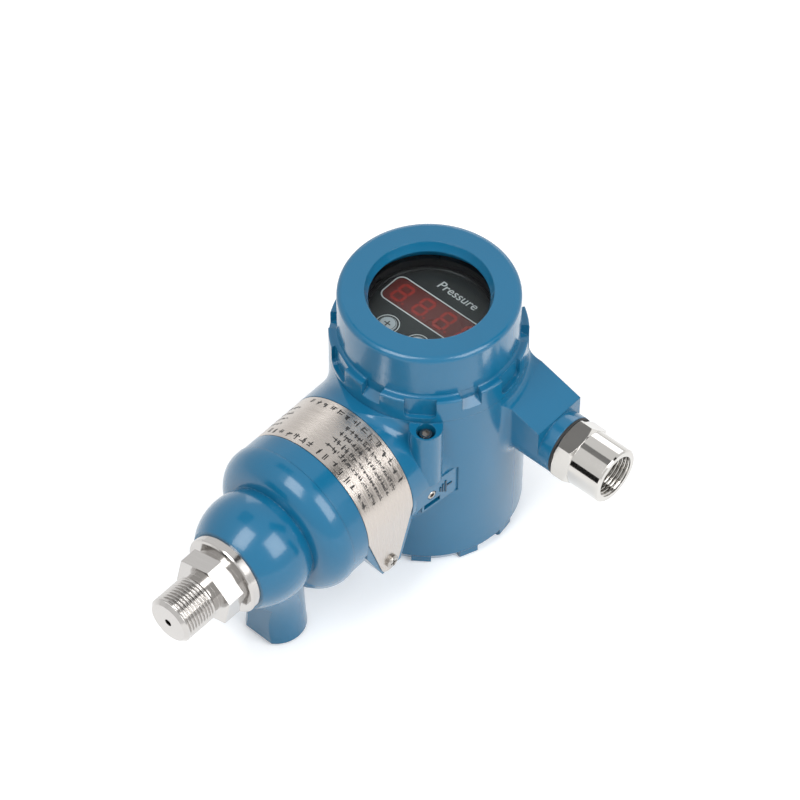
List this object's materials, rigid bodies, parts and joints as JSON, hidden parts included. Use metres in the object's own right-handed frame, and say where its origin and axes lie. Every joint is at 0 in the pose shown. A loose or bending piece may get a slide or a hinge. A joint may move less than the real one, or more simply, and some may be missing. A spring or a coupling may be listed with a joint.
{
  "type": "pressure transmitter",
  "caption": "Pressure transmitter with a round two-cover housing and display, side sensor arm ending in a threaded process connector, and a conduit adapter.",
  "frame": {"origin": "centre of the rear cover's flat face, on the barrel's axis", "axes": "+Z along the barrel towards the display, -Y along the sensor arm to the process thread, +X to the conduit entry"},
  "size_m": [0.1248, 0.1886, 0.124],
  "materials": {
    "blue_paint": "smooth satin powder coat, blue",
    "window_glass": "clear toughened glass",
    "black_rubber": "matte black rubber",
    "black_anodised": "black anodised, satin",
    "black_plastic": "matte black",
    "black_faceplate": "printed film, semi-gloss black",
    "red_window": "dark red filter",
    "grey_plastic": "grey face",
    "button_grey": "light grey cap",
    "green_board": "green solder mask",
    "brass_posts": "bright brass",
    "zinc_screws": "bright zinc plate",
    "dark_screw": "oiled dark steel",
    "brushed_stainless": "brushed sheet",
    "nickel_plate": "bright nickel plate",
    "turned_stainless": "fine turned finish"
  },
  "bodies": {
    "housing": {"housing": "blue_paint", "display_bezel": "black_plastic", "display_faceplate": "black_faceplate", "display_window": "red_window", "digit_block": "grey_plastic", "key_switches": "black_plastic", "display_board": "green_board", "main_board": "green_board", "lower_standoffs": "brass_posts", "upper_standoffs": "brass_posts", "board_screws": "zinc_screws", "terminal_block": "black_plastic", "terminal_screws": "zinc_screws", "terminal_block_screws": "zinc_screws", "inner_ground_screw": "brass_posts", "cover_lock_screw": "dark_screw", "ground_washer": "zinc_screws", "ground_screw": "zinc_screws", "label_band": "brushed_stainless", "band_screws": "dark_screw", "conduit_gasket": "black_rubber", "conduit_adapter": "nickel_plate", "sensor_head": "blue_paint", "sensor_head_oring": "black_rubber", "process_connector": "turned_stainless", "connector_seal": "black_rubber", "sensor_capsule": "turned_stainless"},
    "front_seal": {"front_cover_oring": "black_rubber"},
    "front_cover": {"front_cover": "blue_paint", "window_glass": "window_glass", "glass_seal": "black_rubber", "glass_retaining_ring": "black_anodised"},
    "rear_seal": {"rear_cover_oring": "black_rubber"},
    "rear_cover": {"rear_cover": "blue_paint"},
    "button_left": {"button_left": "button_grey"},
    "button_right": {"button_right": "button_grey"}
  },
  "joints": [
    {"name": "front_cover_rise", "type": "slide", "parent": "housing", "child": "front_seal", "axis": [0, 0, 1], "range_m": [0, 0.014]},
    {"name": "front_cover_turn", "type": "hinge", "parent": "front_seal", "child": "front_cover", "pos_m": [0, 0, 0.091], "axis": [0, 0, 1], "range_deg": [0, 2520]},
    {"name": "rear_cover_rise", "type": "slide", "parent": "housing", "child": "rear_seal", "axis": [0, 0, -1], "range_m": [0, 0.014]},
    {"name": "rear_cover_turn", "type": "hinge", "parent": "rear_seal", "child": "rear_cover", "pos_m": [0, 0, 0.006], "axis": [0, 0, -1], "range_deg": [0, 2520]},
    {"name": "button_left_press", "type": "slide", "parent": "housing", "child": "button_left", "axis": [0, 0, -1], "range_m": [0, 0.0004], "stiffness_N_per_m": 1500},
    {"name": "button_right_press", "type": "slide", "parent": "housing", "child": "button_right", "axis": [0, 0, -1], "range_m": [0, 0.0004], "stiffness_N_per_m": 1500}
  ],
  "couplings": [
    {"joint": "front_cover_rise", "follows": "front_cover_turn", "m_per_rad": 0.00031831},
    {"joint": "rear_cover_rise", "follows": "rear_cover_turn", "m_per_rad": 0.00031831}
  ]
}
